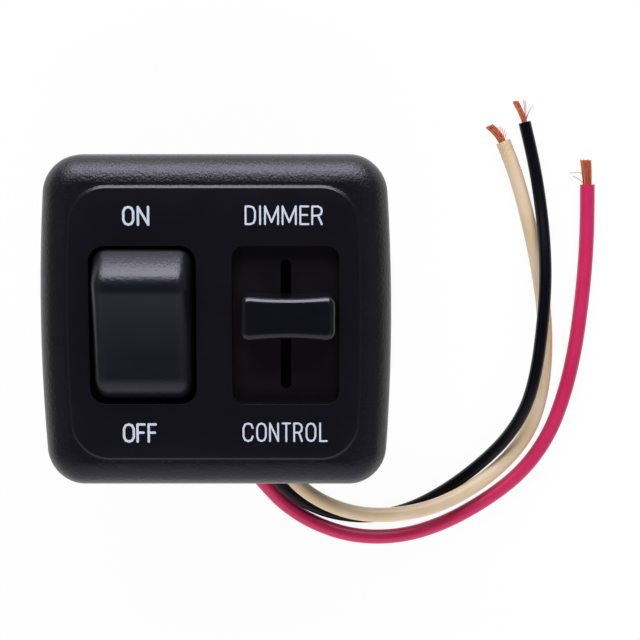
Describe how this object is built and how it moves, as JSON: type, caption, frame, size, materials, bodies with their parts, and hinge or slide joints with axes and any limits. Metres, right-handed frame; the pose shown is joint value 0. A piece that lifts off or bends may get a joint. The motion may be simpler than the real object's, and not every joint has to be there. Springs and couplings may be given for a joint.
{
  "type": "rocker and slide dimmer switch",
  "caption": "Square switch plate with an on/off rocker beside a slide dimmer, a clipped bezel over a screwed frame, a rear housing and free stripped leads for low-voltage lights.",
  "frame": {"origin": "centre of the bezel's outline, at the back face of the rear housing; the leads aren't counted", "axes": "+X towards the dimmer's side, +Y towards the ON end, +Z out of the front"},
  "size_m": [0.0947, 0.0809, 0.0352],
  "materials": {
    "black_bezel": "fine pebble grain, satin",
    "black_recess": "smooth matte",
    "black_rocker": "fine pebble grain, satin",
    "black_knob": "smooth gloss",
    "black_frame": "smooth matte",
    "black_housing": "fine moulded satin",
    "black_case": "smooth matte",
    "black_rubber": "matte rubber",
    "white_nylon": "smooth satin",
    "spring_steel": "bright drawn wire",
    "contact_copper": "rolled sheet",
    "terminal_brass": "rolled sheet",
    "contact_silver": "polished button",
    "carriage_plastic": "smooth matte",
    "pot_steel": "plated sheet",
    "track_laminate": "brown laminate",
    "tinned_steel": "tinned",
    "board_laminate": "green lacquer",
    "screw_steel": "zinc plated",
    "moulded_epoxy": "fine matte",
    "capacitor_sleeve": "shrunk sleeve",
    "resistor_lacquer": "lacquer",
    "red_insulation": "satin vinyl",
    "black_insulation": "satin vinyl",
    "white_insulation": "satin vinyl",
    "stranded_copper": "bare fine strands"
  },
  "bodies": {
    "housing": {"bezel": "black_bezel", "slot_plate": "black_recess", "mounting_frame": "black_frame", "rear_housing": "black_housing", "switch_case": "black_case", "wire_grommet": "black_rubber", "common_terminal": "terminal_brass", "load_terminal": "terminal_brass", "fixed_contact": "contact_silver", "pot_shell": "pot_steel", "pot_track": "track_laminate", "pot_pins": "tinned_steel", "circuit_board": "board_laminate", "board_screws": "screw_steel", "power_transistor": "moulded_epoxy", "timer_chip": "moulded_epoxy", "filter_capacitor": "capacitor_sleeve", "resistors": "resistor_lacquer", "diode": "moulded_epoxy", "switch_lead": "red_insulation", "red_wire": "red_insulation", "black_wire": "black_insulation", "white_wire": "white_insulation", "red_tail": "red_insulation", "black_tail": "black_insulation", "white_tail": "white_insulation", "red_strands": "stranded_copper", "black_strands": "stranded_copper", "white_strands": "stranded_copper"},
    "rocker": {"rocker": "black_rocker", "rocker_plunger": "white_nylon", "rocker_spring": "spring_steel"},
    "contact_arm": {"contact_arm": "contact_copper", "moving_contact": "contact_silver"},
    "slider": {"slider_knob": "black_knob", "slider_carriage": "carriage_plastic", "slider_wiper": "contact_copper"}
  },
  "joints": [
    {"name": "rocker_tilt", "type": "hinge", "parent": "housing", "child": "rocker", "pos_m": [-0.0114, -0.0002, 0.0235], "axis": [1, 0, 0], "range_deg": [-20, 0]},
    {"name": "arm_tilt", "type": "hinge", "parent": "housing", "child": "contact_arm", "pos_m": [-0.0114, -0.0002, 0.01415], "axis": [1, 0, 0], "range_deg": [0, 13]},
    {"name": "knob_slide", "type": "slide", "parent": "housing", "child": "slider", "axis": [0, 1, 0], "range_m": [-0.009, 0.006]}
  ],
  "couplings": [
    {"joint": "arm_tilt", "follows": "rocker_tilt", "ratio": -0.65}
  ]
}
